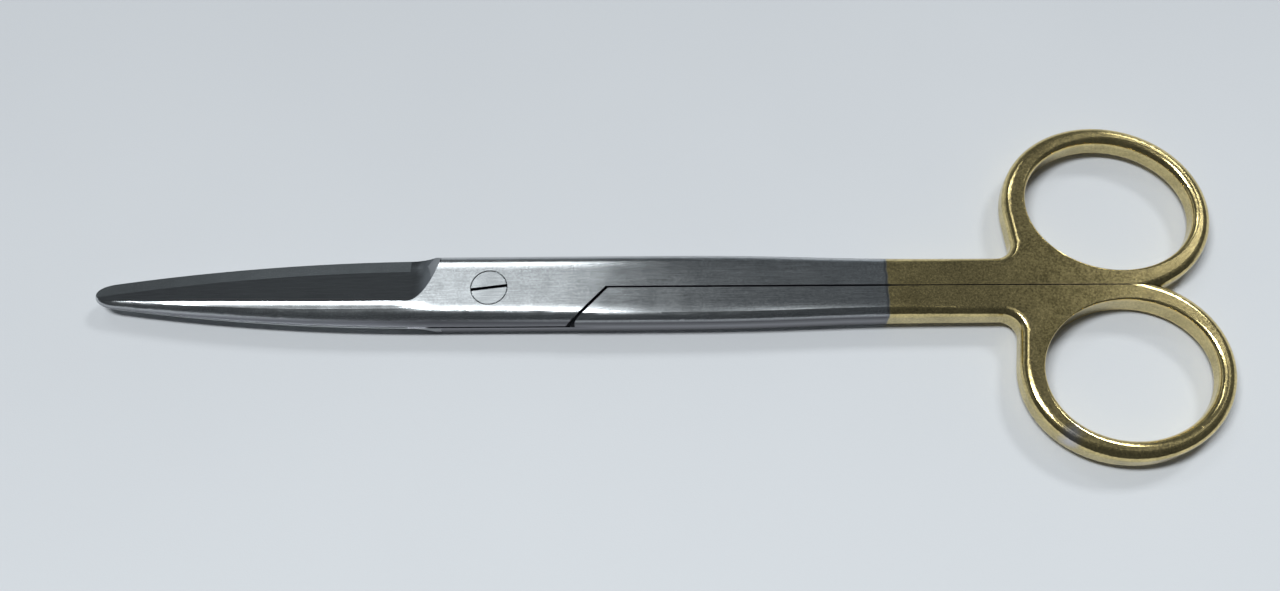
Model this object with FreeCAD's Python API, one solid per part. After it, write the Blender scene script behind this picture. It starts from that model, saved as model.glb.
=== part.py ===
import FreeCAD, Part
import math
import os

# Straight dissecting scissors with carbide edges and finger rings, lying closed.
# X runs along the scissors with the tip at -X, Y runs across them and Z is up.
# The origin is on the pivot axis, on the flat underside of the lock.
# Lengths are in millimetres and angles in degrees.
# The two halves are the same forging, one turned over. The shape is drawn once, as the
# upper half, with z counted from the plane where the halves meet, and moved at the end.

# Lock, where the halves lie over each other
lock_thickness = 5.2
lock_half_width = 5.5
spine_inset = 0.1
lap_gap = 0.06
lap_edge_radius = 1.6

# Slanting shoulder at the end of the lock, and the open slot beside it, at the outer faces.
# A lean is how far a shoulder's face moves towards the tip for each millimetre of depth.
shoulder_start = 17.6
shoulder_foot = 12.4
shoulder_slot_inside = 0.45
shoulder_slot_outside = 0.5
lap_end_lean = 0.38
shoulder_lean = 0.27

# Blade
blade_length = 61.0
blade_root = 9.0
nose_length = 3.0
nose_half_width = 2.0
tip_height = 1.0
spine_radius_root = 2.2
spine_radius_tip = 1.1

# Ground bevel outside the cutting edge, and the hollow inside it
bevel_angle = 17.6
edge_land = 0.15
bevel_end = 5.6
runout_radius = 7.0
hollow_radius = 40.0
hollow_depth_root = 0.14
hollow_depth_tip = 0.03
hollow_start = 14.0
hollow_end = 57.0

# Carbide insert along the cutting edge
insert_width = 2.0
insert_start = 12.5

# Shank
shank_gap = 0.1
shank_half_width = 4.75
shank_taper_start = 26.0
shank_taper_end = 70.0
shank_edge_radius = 1.3
thinning_start = 12.0

# Finger ring: an oval hole, and the bar's width before, behind, outside and inside it
hole_centre_x = 95.05
hole_centre_y = 13.35
ring_tilt = -8.0
hole_length = 25.6
hole_width = 21.7
bar_front = 3.4
bar_back = 2.7
bar_outer = 2.95
bar_inner = 3.7
ring_thickness = 4.0
hole_edge_radius_web = 0.2
hole_edge_radius_far = 1.2
web_direction = 238.0
neck_radius = 2.5
neck_lean = 7.0
ring_departure = 13.0

# Joint screw, fixed in the lower half and turning in the upper one
screw_head_diameter = 5.5
screw_head_height = 1.0
screw_head_chamfer = 0.1
screw_body_diameter = 3.8
screw_thread_diameter = 3.2
screw_head_clearance = 0.08
screw_running_clearance = 0.05
slot_width = 0.4
slot_depth = 0.6
slot_turn = 7.0

# How far a cutting body reaches past what it cuts
overshoot = 1.0
well_clear = 60.0

half_thickness = lock_thickness / 2
lap_face = lap_gap / 2
shank_face = shank_gap / 2
spine_half_width = lock_half_width - spine_inset
parting_depth = 2 * shank_edge_radius


def point(x, y, z=0.0):
    return FreeCAD.Vector(x, y, z)


def upright(x, z):
    return FreeCAD.Vector(x, 0, z)


def unit(angle):
    return point(math.cos(math.radians(angle)), math.sin(math.radians(angle)))


def line(a, b):
    return Part.LineSegment(a, b).toShape()


def chain(points):
    return [line(a, b) for a, b in zip(points, points[1:])]


def closed(edges):
    return Part.Wire(Part.__sortEdges__(edges))


def polygon(points):
    return closed(chain(points + points[:1]))


def prism(outline, low, high):
    """Extrude a plan outline from one level to another."""
    face = Part.Face(outline)
    face.translate(point(0, 0, low))
    return face.extrude(point(0, 0, high - low))


def side_prism(outline):
    """Extrude an outline drawn in X and Z right across the part."""
    face = Part.Face(outline)
    face.translate(point(0, -well_clear, 0))
    return face.extrude(point(0, 2 * well_clear, 0))


def drill(diameter, low, high):
    return Part.makeCylinder(diameter / 2, high - low, point(0, 0, low))


def middle(edge):
    return edge.valueAt((edge.FirstParameter + edge.LastParameter) / 2)


def edge_at(solid, place):
    """The edge whose middle lies nearest to a place."""
    return min(solid.Edges, key=lambda edge: middle(edge).distanceToPoint(place))


def round_from(solid, edge, place, radius_there, radius_far):
    """Round an edge with a radius that changes from the end nearest to a place to its other
    end. What runs on smoothly from the edge is rounded with it."""
    near, far = edge.Vertexes[0].Point, edge.Vertexes[-1].Point
    if near.distanceToPoint(place) < far.distanceToPoint(place):
        return solid.makeFillet(radius_there, radius_far, [edge])
    return solid.makeFillet(radius_far, radius_there, [edge])


def easing_radius(run, fall):
    """Radius of an arc that leaves a straight line and falls away by so much over a run."""
    return (run * run + fall * fall) / (2 * fall)


def easing_fall(run, radius):
    return radius - math.sqrt(radius * radius - run * run)


def easing_arc(place, start, end, level, radius, sense):
    """An arc that leaves a level line at its start and bends away from it, with its end."""
    stations = [start, (start + end) / 2, end]
    falls = [easing_fall(abs(x - start), radius) for x in stations]
    points = [place(x, level + sense * fall) for x, fall in zip(stations, falls)]
    return Part.Arc(*points).toShape(), points[-1]


# Blade

nose_x = nose_length - blade_length
blade_run = -nose_x - blade_root
edge_plan_radius = easing_radius(blade_run, lock_half_width - nose_half_width)
spine_plan_radius = easing_radius(blade_run, spine_half_width - nose_half_width)
edge_centre = point(-blade_root, lock_half_width - edge_plan_radius)
oval_pull = 4 * (math.sqrt(2) - 1) / 3


def nose_quarter(corner, plan_radius, side):
    """Half of the rounded tip, which runs on smoothly from one side of the blade."""
    lean = math.asin(blade_run / plan_radius)
    pull = nose_length * oval_pull
    poles = [corner,
             corner - point(math.cos(lean) * pull, side * math.sin(lean) * pull),
             point(-blade_length, side * nose_half_width * oval_pull),
             point(-blade_length, 0)]
    curve = Part.BezierCurve()
    curve.setPoles(poles)
    return curve.toShape()


def blade_outline():
    edge, edge_end = easing_arc(point, -blade_root, nose_x, lock_half_width,
                                edge_plan_radius, -1)
    spine, spine_end = easing_arc(point, -blade_root, nose_x, -spine_half_width,
                                  spine_plan_radius, 1)
    root = line(point(-blade_root, -spine_half_width), point(-blade_root, lock_half_width))
    noses = [nose_quarter(edge_end, edge_plan_radius, 1),
             nose_quarter(spine_end, spine_plan_radius, -1)]
    return closed([edge, spine, root] + noses)


def blade_side_view():
    """The blade's height falls in one long curve from the lock to the tip."""
    end = -blade_length - overshoot
    radius = easing_radius(blade_length - blade_root, half_thickness - tip_height)
    top, top_end = easing_arc(upright, -blade_root, end, half_thickness, radius, -1)
    return closed([top] + chain([upright(-blade_root, half_thickness),
                                 upright(-blade_root, -overshoot),
                                 upright(end, -overshoot), top_end]))


def blade_blank():
    """The blade before grinding, with its back rounded over."""
    body = prism(blade_outline(), -overshoot, half_thickness + overshoot)
    body = body.common(side_prism(blade_side_view()))
    halfway = (nose_x - blade_root) / 2
    back = edge_at(body, point(halfway, -spine_half_width, half_thickness))
    return round_from(body, back, point(nose_x, 0), spine_radius_tip, spine_radius_root)


def sweep_along_edge(start, profile):
    """Carry a section of radius and height along the curved cutting edge, past the tip."""
    first = math.degrees(math.asin((start - blade_root) / edge_plan_radius))
    last = math.degrees(math.asin((blade_length + overshoot) / edge_plan_radius))
    corners = [edge_centre + unit(90 + first) * r + point(0, 0, z) for r, z in profile]
    body = Part.Face(polygon(corners)).revolve(edge_centre, point(0, 0, 1), last - first)
    return body, corners


def bevel_cutter():
    """What grinding takes off above the cutting edge: one slope all along the curved edge,
    which runs out in a hollow curve before the lock."""
    rise = math.tan(math.radians(bevel_angle))
    foot = lap_face + edge_land
    reach = 2 * lock_half_width
    outer = edge_plan_radius + overshoot
    inner = edge_plan_radius - reach
    top = foot + reach * rise + 2 * runout_radius
    profile = [(outer, foot - overshoot * rise), (inner, foot + reach * rise),
               (inner, top), (outer, top)]
    body, corners = sweep_along_edge(bevel_end, profile)
    return body.makeFillet(runout_radius, [edge_at(body, (corners[0] + corners[1]) / 2)])


def hollow_cutter():
    """A long, slightly tipped round that hollows the face between edge and spine."""
    root = upright(-hollow_start, lap_face + hollow_depth_root - hollow_radius)
    tip = upright(-hollow_end, lap_face + hollow_depth_tip - hollow_radius)
    return Part.makeCylinder(hollow_radius, tip.sub(root).Length, root, tip.sub(root))


def insert_band():
    """The strip along the cutting edge that is carbide."""
    inner = edge_plan_radius - insert_width
    outer = edge_plan_radius + overshoot
    profile = [(outer, 0), (inner, 0), (inner, lock_thickness), (outer, lock_thickness)]
    return sweep_along_edge(insert_start, profile)[0]


# Shank and finger ring

along_ring = unit(ring_tilt)
across_ring = unit(ring_tilt + 90)
hole_centre = point(hole_centre_x, hole_centre_y)
hole_half_length = hole_length / 2
hole_half_width = hole_width / 2
ring_half_length = (hole_length + bar_front + bar_back) / 2
ring_half_width = (hole_width + bar_outer + bar_inner) / 2
ring_centre = (hole_centre + along_ring * ((bar_back - bar_front) / 2)
               + across_ring * ((bar_outer - bar_inner) / 2))
ring_reach = ring_centre.x + math.hypot(ring_half_length * along_ring.x,
                                        ring_half_width * across_ring.x)


def oval(centre, half_length, half_width):
    return Part.Ellipse(centre + along_ring * half_length, centre + across_ring * half_width,
                        centre)


def oval_point(centre, half_length, half_width, turn):
    return (centre + along_ring * (half_length * math.cos(turn))
            + across_ring * (half_width * math.sin(turn)))


def ring_point(turn):
    return oval_point(ring_centre, ring_half_length, ring_half_width, turn)


def ring_turn_along(direction):
    """Where round the ring's outline its edge runs in a direction."""
    return math.atan2(-ring_half_width * direction.dot(along_ring),
                      ring_half_length * direction.dot(across_ring))


def neck():
    """The hollow curve from the shank up to the ring, with its foot, and the ring's start."""
    outwards = unit(neck_lean + 180)
    turn = ring_turn_along(unit(neck_lean + 90))
    if ring_point(turn).x > ring_centre.x:
        turn = turn + math.pi
    touch = ring_point(turn)
    centre_y = shank_half_width + neck_radius
    centre_x = touch.x + (neck_radius - (centre_y - touch.y) * outwards.y) / outwards.x
    centre = point(centre_x, centre_y)
    foot = centre - point(0, neck_radius)
    top = centre - outwards * neck_radius
    halfway = centre + (unit(-90) - outwards).normalize() * neck_radius
    return [Part.Arc(foot, halfway, top).toShape(), line(top, touch)], foot, turn


def shank_taper():
    middle_x = (shank_taper_start + shank_taper_end) / 2
    curve = Part.BezierCurve()
    curve.setPoles([point(shank_taper_start, lock_half_width), point(middle_x, lock_half_width),
                    point(middle_x, shank_half_width), point(shank_taper_end, shank_half_width)])
    return curve.toShape()


def handle_outline():
    """Plan of the lock, shank and ring. Along the parting line it is drawn too deep, and cut."""
    neck_edges, neck_foot, first_turn = neck()
    leaving = unit(ring_departure + 180)
    last_turn = ring_turn_along(leaving)
    if ring_point(last_turn).y > ring_centre.y:
        last_turn = last_turn - math.pi
    departure = ring_point(last_turn)
    bottom_x = departure.x - (parting_depth + departure.y) * leaving.x / leaving.y
    ring = Part.ArcOfEllipse(oval(ring_centre, ring_half_length, ring_half_width),
                             last_turn, first_turn % (2 * math.pi)).toShape()
    straight = [line(point(-blade_root, lock_half_width),
                     point(shank_taper_start, lock_half_width)),
                line(point(shank_taper_end, shank_half_width), neck_foot)]
    return closed(straight + [shank_taper()] + neck_edges + [ring] + chain([
        departure, point(bottom_x, -parting_depth), point(shoulder_start, -parting_depth),
        point(shoulder_start, -spine_half_width), point(-blade_root, -spine_half_width),
        point(-blade_root, lock_half_width)]))


def handle_side_view():
    """The lock is flat, and the shank thins in one long curve to the end of the ring."""
    end = ring_reach + overshoot
    start = -blade_root - overshoot
    radius = easing_radius(ring_reach - thinning_start, half_thickness - ring_thickness / 2)
    top, top_end = easing_arc(upright, thinning_start, end, half_thickness, radius, -1)
    return closed([top] + chain([top_end, upright(end, -overshoot), upright(start, -overshoot),
                                 upright(start, half_thickness),
                                 upright(thinning_start, half_thickness)]))


def finger_hole(low, high):
    """The finger hole, in two halves that meet at the web and opposite it."""
    web = math.radians(web_direction)
    outline = oval(hole_centre, hole_half_length, hole_half_width)
    halves = [Part.ArcOfEllipse(outline, web, web + math.pi).toShape(),
              Part.ArcOfEllipse(outline, web - math.pi, web).toShape()]
    return prism(closed(halves), low, high)


def round_outer_edge(body):
    place = point((thinning_start - blade_root) / 2, lock_half_width, half_thickness)
    return body.makeFillet(shank_edge_radius, [edge_at(body, place)])


def round_lap_edge(body):
    place = point((thinning_start - blade_root) / 2, -spine_half_width, half_thickness)
    root = point(-blade_root, 0)
    return round_from(body, edge_at(body, place), root, spine_radius_root, lap_edge_radius)


def round_hole_edge(body):
    """Rounded fully opposite the web, and hardly at all on it."""
    web = math.radians(web_direction)
    beside, opposite = [oval_point(hole_centre, hole_half_length, hole_half_width, turn)
                        + point(0, 0, ring_thickness / 2)
                        for turn in (web + math.pi / 2, web + math.pi)]
    return round_from(body, edge_at(body, beside), opposite,
                      hole_edge_radius_far, hole_edge_radius_web)


def handle_blank():
    """The lock, shank and ring above the middle plane, with their edges rounded."""
    body = prism(handle_outline(), -overshoot, half_thickness + overshoot)
    body = body.common(side_prism(handle_side_view()))
    body = body.cut(finger_hole(-2 * overshoot, half_thickness + 2 * overshoot))
    return round_hole_edge(round_lap_edge(round_outer_edge(body)))


# The forging and its parts

def past_shoulder(inside, outside, limit):
    """Plan of what lies beyond a slanting shoulder and on one side of the parting line.
    The shoulder is given by its places on the middle line and on the lock's wall."""
    side = math.copysign(1, outside.y)
    ends = [inside + (outside - inside) * ((y - inside.y) / (outside.y - inside.y))
            for y in (limit, side * well_clear)]
    far = ring_reach + well_clear
    return polygon(ends + [point(far, side * well_clear), point(far, limit)])


def leaning_prism(outline, side, end, lean):
    """Extrude a plan that holds at the outer face, above (1) or below (-1), to a level."""
    start = side * (half_thickness + overshoot)
    face = Part.Face(outline)
    face.translate(point(lean * overshoot, 0, start))
    return face.extrude(point(-lean * abs(end - start), 0, end - start))


def upper_layer(handle):
    """The half above the lap face: blade, lap and the upper half of shank and ring."""
    beside = past_shoulder(point(shoulder_start, 0), point(shoulder_foot, -lock_half_width),
                           shank_face)
    above = Part.makeBox(4 * well_clear, 2 * well_clear, well_clear,
                         point(-2 * well_clear, -well_clear, lap_face))
    body = handle.fuse(blade_blank()).common(above)
    return body.cut(leaning_prism(beside, 1, -overshoot, lap_end_lean))


def lower_layer(handle):
    """Shank and ring below the lap face, ending at the shoulder."""
    beyond = past_shoulder(point(shoulder_start + shoulder_slot_inside, 0),
                           point(shoulder_foot + shoulder_slot_outside, lock_half_width),
                           shank_face)
    below = handle.mirror(point(0, 0, 0), point(0, 0, 1))
    return below.common(leaning_prism(beyond, -1, lap_face, shoulder_lean))


def ground_half():
    """One half of the scissors, forged and ground, and its insert, before drilling."""
    handle = handle_blank()
    body = upper_layer(handle).cut(bevel_cutter())
    insert = body.common(insert_band()).cut(hollow_cutter())
    body = body.cut(insert_band()).cut(hollow_cutter())
    return body.fuse(lower_layer(handle)).removeSplitter(), insert


def bored(body):
    """The turning half: a hole for the screw's body and a seat for its head."""
    seat = half_thickness - screw_head_height - screw_running_clearance
    head = drill(screw_head_diameter + 2 * screw_head_clearance, seat, lock_thickness)
    shaft = drill(screw_body_diameter + 2 * screw_running_clearance, -lock_thickness,
                  lock_thickness)
    return body.cut(head.fuse(shaft))


def tapped(body):
    """The fixed half, drilled for the screw's thread."""
    return body.cut(drill(screw_thread_diameter, -lock_thickness, lock_thickness))


def joint_screw():
    """A slotted screw, flush with both sides, that seats on the lower half's lap face."""
    head_foot = half_thickness - screw_head_height
    head = drill(screw_head_diameter, head_foot, half_thickness)
    rim = edge_at(head, point(-screw_head_diameter / 2, 0, half_thickness))
    head = head.makeChamfer(screw_head_chamfer, [rim])
    body = drill(screw_body_diameter, -lap_face, head_foot)
    thread = drill(screw_thread_diameter, -half_thickness, -lap_face)
    slot = Part.makeBox(2 * screw_head_diameter, slot_width, 2 * slot_depth,
                        point(-screw_head_diameter, -slot_width / 2,
                              half_thickness - slot_depth))
    slot.rotate(point(0, 0, 0), point(0, 0, 1), slot_turn)
    return head.fuse(body).fuse(thread).removeSplitter().cut(slot)


def turned_over(shape):
    lower = shape.copy()
    lower.rotate(point(0, 0, 0), point(1, 0, 0), 180)
    return lower


def export(node, shape):
    placed = shape.copy()
    placed.translate(point(0, 0, half_thickness))
    placed.exportStep("parts/" + node + ".step")


def main():
    os.makedirs("parts", exist_ok=True)
    forging, insert = ground_half()
    export("upper_half", bored(forging))
    export("upper_insert", insert)
    export("lower_half", tapped(turned_over(forging)))
    export("lower_insert", turned_over(insert))
    export("joint_screw", joint_screw())


main()
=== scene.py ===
import bpy
import math
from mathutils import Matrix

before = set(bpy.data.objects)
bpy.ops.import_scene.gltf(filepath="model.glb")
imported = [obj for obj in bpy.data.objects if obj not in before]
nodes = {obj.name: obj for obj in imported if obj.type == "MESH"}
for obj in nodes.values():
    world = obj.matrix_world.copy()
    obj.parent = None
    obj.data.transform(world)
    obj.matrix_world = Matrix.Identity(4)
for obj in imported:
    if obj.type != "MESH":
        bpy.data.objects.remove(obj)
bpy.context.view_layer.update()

# Lengths are in metres, in the frame of the part: X from the tips to the rings, Z up.
# Both halves are the same forging. Side is 1 for the upper half and -1 for the lower one,
# and turns places on the lower half into places on the upper one.
# A pair of places or depths is where a mask begins and where it is complete.

mid_height = 0.0026
lock_half_width = 0.0055

# Faces that fall away in long curves from the lock, towards the ring and towards the tip
ring_fall_start = 0.012
ring_fall_radius = 8.085
blade_root = -0.009
blade_fall_radius = 0.8458

# Ground bevel: part of a cone round the centre of the curved cutting edge
edge_radius = 0.34475
edge_foot = 0.00018
bevel_slope = math.tan(math.radians(17.6))
bevel_end = -0.0074
runout = (-0.0114, -0.0102)

# The shoulder slants from the middle line to the lock's wall, beside an open slot.
shoulder_start = 0.0176
shoulder_foot = 0.0124
slot_width = 0.0005

# The parting line runs from the shoulder to the web and is finer where it is plated.
line_end = (0.0960, 0.0980)
line_reach = 0.00020
plated_line = (0.058, 0.064)
plated_line_reach = 0.00012

# The screw's own slot is turned a little from X.
screw_slot_turn = math.radians(7.0)
screw_slot_lip = (0.00024, 0.00028)

# Polishing has left the flats of the lock and shank softly domed towards their edges, and
# the strip behind the bevel rounded over from its ridge on. Each doming is the slope that it
# starts with, how that grows, how far it goes and how far it takes to end.
lock_doming = (0.0, 45.0, 0.0017, 0.0013)
lock_doming_start = 0.0025
ridge_doming = (0.16, 130.0, 0.0009, 0.0020)
ridge_doming_grows = (-0.062, -0.040)
ridge_to_lock = (-0.016, -0.007)
doming_ends = (0.060, 0.078)

# Depths below the outer faces
off_the_flat = (0.00002, 0.00012)
on_the_wall = (0.0002, 0.0012)
low_on_the_wall = (0.0010, 0.0036)
on_a_plated_wall = (0.0003, 0.0012)

# Along X: where the walls of the blade turn into those of the lock, the plating starts and
# the insert gets duller towards the tip
blade_to_lock_wall = (-0.020, -0.008)
plating_start = 0.06025
dull_to_bright_insert = (-0.054, -0.030)

worn_place = (0.0852, -0.0232, 0.0036)
worn_reach = (0.0014, 0.0032)

steel_grey = (0.56, 0.575, 0.585, 1)
# Painted shade for the runout of the bevel, much darker than the steel
runout_shade_grey = (0.26, 0.27, 0.28, 1)
# Painted shade on the walls of the lock and the blade, lightening towards their foot as a painted
# reflection
lock_wall_shade_grey = (0.11, 0.11, 0.12, 1)
lock_foot_reflection_grey = (0.42, 0.42, 0.45, 1)
blade_wall_shade_grey = (0.19, 0.19, 0.21, 1)
blade_foot_reflection_grey = (0.58, 0.58, 0.63, 1)
carbide_grey = (0.64, 0.67, 0.68, 1)
plated_gold = (0.93, 0.74, 0.34, 1)
# Painted shade on the plated walls, multiplied into the gold
plated_wall_shade_tint = (0.82, 0.86, 0.92, 1)
stain_grey = (0.16, 0.17, 0.19, 1)
worn_grey = (0.62, 0.60, 0.62, 1)
# Painted shade, near black, for the gaps where the halves meet and for the screw's slot
seam_shade_dark = (0.008, 0.008, 0.011, 1)
# Painted light on the paper: darker towards the back and left, brighter towards the front and
# right
paper_far_shade = (0.53, 0.535, 0.555, 1)
paper_near_lit = (0.72, 0.725, 0.745, 1)

brushed_roughness = (0.13, 0.22)
ground_roughness = 0.10
wall_roughness = 0.3
plated_roughness = (0.12, 0.27)
plated_edge_roughness = 0.12
carbide_roughness = (0.175, 0.235)
seam_roughness = 0.6
paper_roughness = 0.85

brushing_spread = 0.7
grain_height = 0.00001

# Soft panels, all at one height: the corners in plan, and how bright each looks
panel_height = 1.6
panel_tint = (0.93, 0.98, 1.0)
panels = {
    "overhead strip": ((-0.89, -0.03), (-0.10, 0.18), 44.0),
    "between the strips": ((-0.89, 0.18), (-0.08, 1.16), 0.38),
    "back strip": ((-0.89, 1.16), (-0.09, 1.38), 6.0),
    "near panel": ((0.14, 0.00), (0.32, 0.30), 0.9),
    "window": ((0.95, 1.10), (1.45, 1.60), 26.0),
}

# The room: how bright it is in front and behind, and what each pale wall adds
room_tint = (0.84, 0.93, 1.0, 1)
room_front, room_behind = 0.07, 0.10
right_wall, left_wall, far_wall = 0.6, 0.25, 0.2

camera_place = (0.027401, -0.080746, 0.192173)
camera_turn = (22.97, 1.335, 0.121)
camera_lens = 37.97


class Graph:
    """Short ways to add nodes to one tree."""

    def __init__(self, tree):
        self.tree = tree

    def add(self, kind, settings=None, **values):
        node = self.tree.nodes.new("ShaderNode" + kind)
        for key, value in (settings or {}).items():
            setattr(node, key, value)
        for key, value in values.items():
            self.put(node.inputs[key.replace("_", " ")], value)
        return node

    def put(self, socket, value):
        if isinstance(value, bpy.types.NodeSocket):
            self.tree.links.new(value, socket)
        else:
            socket.default_value = value

    def fill(self, sockets, values):
        for socket, value in zip(sockets, values):
            self.put(socket, value)

    def use(self, group, **values):
        return self.add("Group", {"node_tree": group}, **values).outputs

    def math(self, operation, *values):
        node = self.add("Math", {"operation": operation})
        self.fill(node.inputs, values)
        return node.outputs[0]

    def plus(self, a, b):
        return self.math("ADD", a, b)

    def minus(self, a, b):
        return self.math("SUBTRACT", a, b)

    def times(self, a, b):
        return self.math("MULTIPLY", a, b)

    def times_plus(self, a, b, c):
        return self.math("MULTIPLY_ADD", a, b, c)

    def larger(self, a, b):
        return self.math("MAXIMUM", a, b)

    def unsigned(self, value):
        return self.math("ABSOLUTE", value)

    def mix(self, factor, a, b):
        """Between two numbers."""
        node = self.add("Mix", {"data_type": "FLOAT"})
        self.fill((node.inputs[0], node.inputs[2], node.inputs[3]), (factor, a, b))
        return node.outputs[0]

    def blend(self, factor, a, b, kind="MIX"):
        """Between two colours."""
        node = self.add("Mix", {"data_type": "RGBA", "blend_type": kind})
        self.fill((node.inputs[0], node.inputs[6], node.inputs[7]), (factor, a, b))
        return node.outputs[2]

    def rise(self, value, low, high):
        """0 below low and 1 above high, with a smooth rise between them."""
        node = self.add("MapRange", {"interpolation_type": "SMOOTHSTEP"})
        self.fill(node.inputs[:3], (value, low, high))
        return node.outputs[0]

    def fall(self, value, low, high):
        return self.minus(1.0, self.rise(value, low, high))

    def limit(self, value, low, high):
        """How far a value has got from low towards high, no further than high."""
        node = self.add("Clamp")
        self.fill(node.inputs, (self.minus(value, low), 0.0, high - low))
        return node.outputs[0]

    def noise(self, vector, scale, detail=2.0, roughness=0.5):
        node = self.add("TexNoise", Vector=vector, Scale=scale, Detail=detail, Roughness=roughness)
        return node.outputs[0]

    def split(self, vector):
        return self.add("SeparateXYZ", Vector=vector).outputs


def new_group(name, inputs, outputs):
    """A node group whose inputs are (name, kind, value) and whose outputs are (name, kind)."""
    group = bpy.data.node_groups.new(name, "ShaderNodeTree")
    for label, kind, value in inputs:
        socket = group.interface.new_socket(label, in_out="INPUT", socket_type="NodeSocket" + kind)
        if value is not None:
            socket.default_value = value
    for label, kind in outputs:
        group.interface.new_socket(label, in_out="OUTPUT", socket_type="NodeSocket" + kind)
    into = group.nodes.new("NodeGroupInput").outputs
    out = group.nodes.new("NodeGroupOutput").inputs
    return group, Graph(group), into, out


def finish_marks():
    """Fine lines along X, slow mottling and fine speckle, from a place."""
    group, graph, into, out = new_group(
        "Finish marks",
        [("Place", "Vector", None), ("Along", "Float", 0.05), ("Fineness", "Float", 5000.0)],
        [("Lines", "Float"), ("Mottle", "Float"), ("Speckle", "Float")])
    squeeze = graph.add("CombineXYZ", X=into["Along"], Y=1.0, Z=1.0).outputs[0]
    drawn_out = graph.add("VectorMath", {"operation": "MULTIPLY"})
    graph.fill(drawn_out.inputs, (into["Place"], squeeze))
    graph.put(out["Lines"], graph.noise(drawn_out.outputs[0], into["Fineness"], 3.0, 0.6))
    graph.put(out["Mottle"], graph.noise(into["Place"], 300.0, 3.0, 0.55))
    graph.put(out["Speckle"], graph.noise(into["Place"], 3200.0, 2.0, 0.6))
    return group


def long_fall(graph, past, radius):
    """How far a face has fallen in a long curve, once it is past where the curve starts."""
    return graph.times(graph.math("POWER", graph.larger(past, 0.0), 2.0), 0.5 / radius)


def rounded_over(graph, outwards, lean, curve, reach, fade):
    """How far a surface has dropped that leans, curves more and more as far as reach, and
    is back on the forging's own rounding once it has gone as far as fade beyond that."""
    curved = graph.limit(outwards, 0.0, reach)
    drop = graph.times(curved, graph.times_plus(curved, curve, lean))
    beyond = graph.limit(outwards, reach, reach + fade)
    steepest = lean + 2 * curve * reach
    easing = graph.times_plus(beyond, -0.5 * steepest / fade, steepest)
    return graph.times_plus(beyond, easing, drop)


def seams(graph, x, y, z, off_middle):
    """Painted shade in the gaps where the halves meet: along the parting line of the shanks, the
    joint's plane on the walls of the lock, and the shoulder's slot."""
    along = graph.times(graph.rise(x, shoulder_start - 0.0001, shoulder_start),
                        graph.fall(x, *line_end))
    reach = graph.mix(graph.rise(x, *plated_line), line_reach, plated_line_reach)
    parting = graph.times(along, graph.fall(off_middle, graph.minus(reach, 0.00004), reach))

    on_lock = graph.times(graph.rise(x, blade_root - 0.001, blade_root),
                          graph.fall(x, shoulder_foot, shoulder_start))
    on_lock_wall = graph.times(on_lock, graph.rise(
        off_middle, lock_half_width - 0.0002, lock_half_width - 0.0001))
    between = graph.times(on_lock_wall, graph.fall(graph.unsigned(z), 0.00006, 0.00014))

    slant = (shoulder_start - shoulder_foot) / lock_half_width
    from_shoulder = graph.minus(graph.times_plus(off_middle, slant, x), shoulder_start)
    in_slot = graph.times(graph.rise(from_shoulder, -0.00014, -0.00009),
                          graph.fall(from_shoulder, slot_width + 0.00006, slot_width + 0.00011))
    slot_side = graph.math("LESS_THAN", graph.times(y, z), 0.0)
    return graph.larger(graph.larger(parting, between), graph.times(in_slot, slot_side))


def places_on_half():
    """Where a place lies on the forging: Depth is how far it lies below the outer faces, Flat is 1
    on these and 0 on what is rounded, Bevel is 1 on the ground bevel and Runout where that curves
    out, Seam is 1 where shade is painted into the gaps where the halves meet, and Dome is the
    height of the soft doming."""
    group, graph, into, out = new_group(
        "Places on the half",
        [("Place", "Vector", None), ("Side", "Float", 1.0)],
        [("Depth", "Float"), ("Flat", "Float"), ("Bevel", "Float"), ("Runout", "Float"),
         ("Seam", "Float"), ("Dome", "Float")])
    x, y, z = graph.split(into["Place"])
    y = graph.times(y, into["Side"])
    z = graph.times(graph.minus(z, mid_height), into["Side"])
    off_middle = graph.unsigned(y)

    ring_fall = long_fall(graph, graph.minus(x, ring_fall_start), ring_fall_radius)
    blade_fall = long_fall(graph, graph.minus(blade_root, x), blade_fall_radius)
    top = graph.minus(graph.minus(mid_height, ring_fall), blade_fall)
    depth = graph.minus(top, graph.unsigned(z))
    graph.put(out["Depth"], depth)
    graph.put(out["Flat"], graph.fall(depth, *off_the_flat))

    run = graph.minus(x, blade_root)
    reach = graph.plus(y, edge_radius - lock_half_width)
    radius = graph.math("SQRT", graph.times_plus(run, run, graph.times(reach, reach)))
    cone = graph.times_plus(graph.minus(edge_radius, radius), bevel_slope, edge_foot)
    on_cone = graph.rise(graph.minus(z, cone), -0.00005, -0.00001)
    before_lock = graph.fall(x, bevel_end - 0.0002, bevel_end)
    below_top = graph.rise(depth, 0.000005, 0.00003)
    bevel = graph.times(graph.times(on_cone, before_lock), below_top)
    graph.put(out["Bevel"], bevel)
    graph.put(out["Runout"], graph.times(bevel, graph.rise(x, *runout)))

    past_start = graph.minus(off_middle, lock_doming_start)
    lock_drop = rounded_over(graph, past_start, *lock_doming)
    past_ridge = graph.math("DIVIDE", graph.minus(cone, top), bevel_slope)
    ridge_drop = graph.times(rounded_over(graph, past_ridge, *ridge_doming),
                             graph.rise(x, *ridge_doming_grows))
    dropped = graph.mix(graph.rise(x, *ridge_to_lock), ridge_drop, lock_drop)
    height = graph.times(graph.fall(x, *doming_ends), -1.0)
    graph.put(out["Dome"], graph.times(dropped, height))

    graph.put(out["Seam"], seams(graph, x, y, z, off_middle))
    return group


def tone(graph, factor, colour, low, high):
    """A colour between two strengths of itself."""
    darker = tuple(part * low for part in colour[:3]) + (1,)
    lighter = tuple(part * high for part in colour[:3]) + (1,)
    return graph.blend(factor, darker, lighter)


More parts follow.
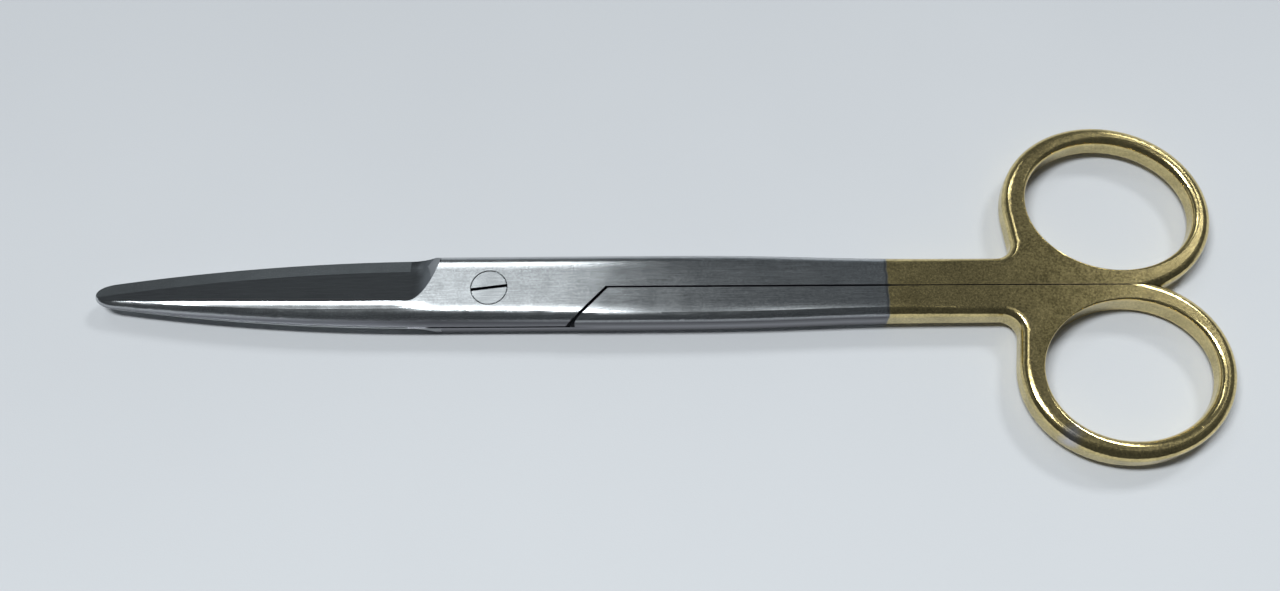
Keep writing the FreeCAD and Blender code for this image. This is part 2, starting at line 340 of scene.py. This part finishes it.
def steel_of_half(graph, into, x):
    """Brushed on the flats, rougher on the walls and ground on the bevel, with painted shade on
    the walls that lightens towards their foot as a painted reflection, and a darker tone on the
    bevel and its runout as painted shade.
    """
    grain = graph.rise(graph.mix(0.45, into["Lines"], into["Speckle"]), 0.1, 0.9)
    brushed = tone(graph, grain, steel_grey, 0.60, 1.40)
    # The ground bevel gets a darker tone than the flats as painted shade, and its runout darker
    # still
    ground = tone(graph, into["Lines"], steel_grey, 0.50, 0.96)
    ground = graph.blend(into["Runout"], ground, runout_shade_grey)
    wall = graph.rise(into["Depth"], *on_the_wall)
    foot = graph.rise(into["Depth"], *low_on_the_wall)
    # Painted shade on the walls, lighter towards the foot as a painted reflection
    walls = graph.blend(graph.fall(x, *blade_to_lock_wall),
                        graph.blend(foot, lock_wall_shade_grey, lock_foot_reflection_grey),
                        graph.blend(foot, blade_wall_shade_grey, blade_foot_reflection_grey))
    steel = graph.blend(into["Bevel"], graph.blend(wall, brushed, walls), ground)
    roughness = graph.mix(wall, graph.mix(into["Mottle"], *brushed_roughness), wall_roughness)
    return steel, graph.mix(into["Bevel"], roughness, ground_roughness)


def worn_through(graph, into, gilt):
    """A patch of the ring where the plating has worn down to the grey steel."""
    away = graph.add("VectorMath", {"operation": "DISTANCE"})
    graph.fill(away.inputs, (into["Place"], worn_place))
    ragged = graph.times_plus(into["Mottle"], 0.0016, away.outputs["Value"])
    patch = graph.times(graph.fall(ragged, *worn_reach), into["Worn"])
    return graph.blend(patch, gilt, worn_grey)


def gilt_of_half(graph, into):
    """Cloudy on the flats, bright where the edges are rounded, and with painted shade on the
    walls.
    """
    cloudy = graph.rise(graph.mix(0.6, into["Mottle"], into["Speckle"]), 0.2, 0.8)
    gilt = tone(graph, cloudy, plated_gold, 0.43, 1.09)
    # Painted shade on the plated walls
    gilt_wall_shaded = graph.blend(1.0, gilt, plated_wall_shade_tint, "MULTIPLY")
    gilt = graph.blend(graph.rise(into["Depth"], *on_a_plated_wall), gilt, gilt_wall_shaded)
    roughness = graph.mix(into["Flat"], plated_edge_roughness,
                          graph.mix(into["Speckle"], *plated_roughness))
    return worn_through(graph, into, gilt), roughness


def half_finish():
    """Steel up to the plating, with a stain along its edge, and gold from there on. Worn is
    1 for the half whose ring is worn through. Grain is the height of the fine marks."""
    masks = ["Lines", "Mottle", "Speckle", "Depth", "Flat", "Bevel", "Runout", "Seam", "Worn"]
    group, graph, into, out = new_group(
        "Half finish",
        [("Place", "Vector", None)] + [(mask, "Float", 0.0) for mask in masks],
        [("Color", "Color"), ("Roughness", "Float"), ("Grain", "Float")])
    x = graph.split(into["Place"])[0]
    steel, steel_roughness = steel_of_half(graph, into, x)
    gilt, gilt_roughness = gilt_of_half(graph, into)

    wander = graph.times_plus(graph.noise(into["Place"], 700.0), 0.0005, x)
    gold_here = graph.rise(wander, plating_start, plating_start + 0.0004)
    stain = graph.times(graph.rise(wander, plating_start - 0.0004, plating_start),
                        graph.fall(wander, plating_start, plating_start + 0.0003))
    stained = graph.blend(graph.times(stain, 0.6), steel, stain_grey)
    finish = graph.blend(gold_here, stained, gilt)
    roughness = graph.mix(gold_here, steel_roughness, gilt_roughness)
    # Painted shade in the gaps where the halves meet
    graph.put(out["Color"], graph.blend(into["Seam"], finish, seam_shade_dark))
    graph.put(out["Roughness"], graph.mix(into["Seam"], roughness, seam_roughness))

    steel_grain = graph.times(into["Lines"], 0.4)
    gold_grain = graph.times(into["Speckle"], graph.times(into["Flat"], 0.6))
    graph.put(out["Grain"], graph.mix(gold_here, steel_grain, gold_grain))
    return group


def carbide_finish():
    """Hard metal, ground finely, a little lighter than the steel beside it and duller
    towards the tip."""
    group, graph, into, out = new_group(
        "Carbide finish",
        [("Place", "Vector", None), ("Lines", "Float", 0.0), ("Mottle", "Float", 0.0)],
        [("Color", "Color"), ("Roughness", "Float")])
    towards_tip = graph.fall(graph.split(into["Place"])[0], *dull_to_bright_insert)
    bright = tone(graph, into["Mottle"], carbide_grey, 0.84, 1.16)
    dull = tone(graph, into["Mottle"], carbide_grey, 0.62, 0.86)
    graph.put(out["Color"], graph.blend(towards_tip, bright, dull))
    graph.put(out["Roughness"], graph.mix(into["Lines"], *carbide_roughness))
    return group


marks_group = finish_marks()
places_group = places_on_half()
half_group = half_finish()
carbide_group = carbide_finish()


def new_material(name, metallic):
    """A material, its nodes, its shader and the place on the piece."""
    material = bpy.data.materials.new(name)
    material.use_nodes = True
    material.node_tree.nodes.clear()
    graph = Graph(material.node_tree)
    shader = graph.add("BsdfPrincipled")
    shader.inputs["Metallic"].default_value = metallic
    graph.add("OutputMaterial", Surface=shader.outputs[0])
    return material, graph, shader, graph.add("TexCoord").outputs["Object"]


def draw_out_highlights(graph, shader):
    """Brushing along X spreads highlights across it."""
    shader.inputs["Anisotropic"].default_value = brushing_spread
    around = graph.add("Tangent", {"direction_type": "RADIAL", "axis": "X"})
    graph.put(shader.inputs["Tangent"], around.outputs[0])


def add_grain(graph, shader, strength, height, **under):
    fine = graph.add("Bump", Strength=strength, Distance=grain_height, Height=height, **under)
    graph.put(shader.inputs["Normal"], fine.outputs[0])


def half_material(name, side, worn):
    """One half, from its side and whether its ring is worn through (1) or not (0)."""
    material, graph, shader, place = new_material(name, 1.0)
    marks = graph.use(marks_group, Place=place)
    where = graph.use(places_group, Place=place, Side=side)
    masks = {mask: marks[mask] for mask in ("Lines", "Mottle", "Speckle")}
    masks.update({mask: where[mask] for mask in ("Depth", "Flat", "Bevel", "Runout", "Seam")})
    finish = graph.use(half_group, Place=place, Worn=worn, **masks)
    graph.put(shader.inputs["Base Color"], finish["Color"])
    graph.put(shader.inputs["Roughness"], finish["Roughness"])
    draw_out_highlights(graph, shader)
    domed = graph.add("Bump", Strength=1.0, Distance=1.0, Height=where["Dome"]).outputs[0]
    add_grain(graph, shader, 0.25, finish["Grain"], Normal=domed)
    return material


def carbide_material(name):
    material, graph, shader, place = new_material(name, 1.0)
    marks = graph.use(marks_group, Place=place, Fineness=9000.0)
    finish = graph.use(carbide_group, Place=place, Lines=marks["Lines"], Mottle=marks["Mottle"])
    graph.put(shader.inputs["Base Color"], finish["Color"])
    graph.put(shader.inputs["Roughness"], finish["Roughness"])
    add_grain(graph, shader, 0.15, marks["Lines"])
    return material


def screw_material(name):
    """Brushed with the lock, with painted shade in its slot and on its side below the face."""
    material, graph, shader, place = new_material(name, 1.0)
    marks = graph.use(marks_group, Place=place)
    x, y, z = graph.split(place)
    below_face = graph.fall(z, 2 * mid_height - 0.00015, 2 * mid_height - 0.00005)
    off_slot = graph.unsigned(graph.times_plus(x, -math.tan(screw_slot_turn), y))
    in_slot = graph.times(graph.fall(off_slot, *screw_slot_lip),
                          graph.rise(z, mid_height, mid_height + 0.001))
    # Painted shade in the slot and on the side below the face
    deep = graph.larger(below_face, in_slot)
    face = tone(graph, marks["Lines"], steel_grey, 0.65, 1.35)
    roughness = graph.mix(marks["Mottle"], *brushed_roughness)
    graph.put(shader.inputs["Base Color"], graph.blend(deep, face, seam_shade_dark))
    graph.put(shader.inputs["Roughness"], graph.mix(deep, roughness, seam_roughness))
    draw_out_highlights(graph, shader)
    add_grain(graph, shader, 0.25, marks["Lines"])
    return material


def paper():
    """Pale paper with fine fibres, with painted light that makes it a little brighter towards the
    front and the right.
    """
    material, graph, shader, place = new_material("paper", 0.0)
    x, y, z = graph.split(place)
    # Painted light falloff across the paper
    across = graph.times_plus(x, 0.3, graph.times(y, -1.0))
    cloud = graph.times_plus(graph.noise(place, 14.0, 3.0), 0.04, across)
    graph.put(shader.inputs["Base Color"],
              graph.blend(graph.rise(cloud, -0.10, 0.13), paper_far_shade, paper_near_lit))
    shader.inputs["Roughness"].default_value = paper_roughness
    fibre = graph.add("Bump", Strength=0.1, Distance=0.0001, Height=graph.noise(place, 4000.0))
    graph.put(shader.inputs["Normal"], fibre.outputs[0])
    return material


def dress():
    materials = {
        "upper_half": half_material("upper half", 1.0, 0.0),
        "lower_half": half_material("lower half", -1.0, 1.0),
        "upper_insert": carbide_material("upper insert"),
        "lower_insert": carbide_material("lower insert"),
        "joint_screw": screw_material("joint screw"),
    }
    for node, material in materials.items():
        for slot in nodes[node].material_slots:
            slot.link = "OBJECT"
            slot.material = material


def lay_floor():
    bpy.ops.mesh.primitive_plane_add(size=6.0, location=(0, 0, 0))
    floor = bpy.context.object
    floor.name = "floor"
    floor.data.materials.append(paper())


def hang_panel(name, low, high, brightness):
    """A soft panel that faces down, between two corners in plan."""
    width, depth = high[0] - low[0], high[1] - low[1]
    data = bpy.data.lights.new(name, "AREA")
    data.shape = "RECTANGLE"
    data.size = width
    data.size_y = depth
    data.energy = brightness * math.pi * width * depth
    data.color = panel_tint
    panel = bpy.data.objects.new(name, data)
    panel.location = ((low[0] + high[0]) / 2, (low[1] + high[1]) / 2, panel_height)
    bpy.context.collection.objects.link(panel)


def light_room():
    """Bright strips overhead in a dim room, with pale walls behind and to the sides, and a
    window behind on the right."""
    world = bpy.data.worlds.new("room")
    world.use_nodes = True
    graph = Graph(world.node_tree)
    x, y, z = graph.split(graph.add("TexCoord").outputs["Generated"])
    room = graph.mix(graph.rise(y, -0.25, 0.15), room_front, room_behind)
    right = graph.times(graph.fall(z, 0.10, 0.40), graph.rise(x, 0.2, 0.6))
    left = graph.times(graph.fall(z, 0.25, 0.55), graph.rise(x, -0.5, -0.9))
    sides = graph.plus(graph.times(right, right_wall), graph.times(left, left_wall))
    walls = graph.times(sides, graph.rise(y, -0.3, 0.1))
    far = graph.times(graph.fall(z, 0.15, 0.42), graph.rise(y, 0.2, 0.7))
    walls = graph.times_plus(far, far_wall, walls)
    background = world.node_tree.nodes["Background"]
    background.inputs["Color"].default_value = room_tint
    graph.put(background.inputs["Strength"], graph.plus(room, walls))
    bpy.context.scene.world = world
    for name, (low, high, brightness) in panels.items():
        hang_panel(name, low, high, brightness)


def set_camera():
    data = bpy.data.cameras.new("camera")
    data.sensor_width = 36.0
    data.lens = camera_lens
    data.clip_start = 0.01
    camera = bpy.data.objects.new("camera", data)
    camera.location = camera_place
    camera.rotation_euler = [math.radians(angle) for angle in camera_turn]
    bpy.context.collection.objects.link(camera)
    bpy.context.scene.camera = camera


dress()
lay_floor()
light_room()
set_camera()
bpy.context.scene.view_settings.view_transform = "Standard"
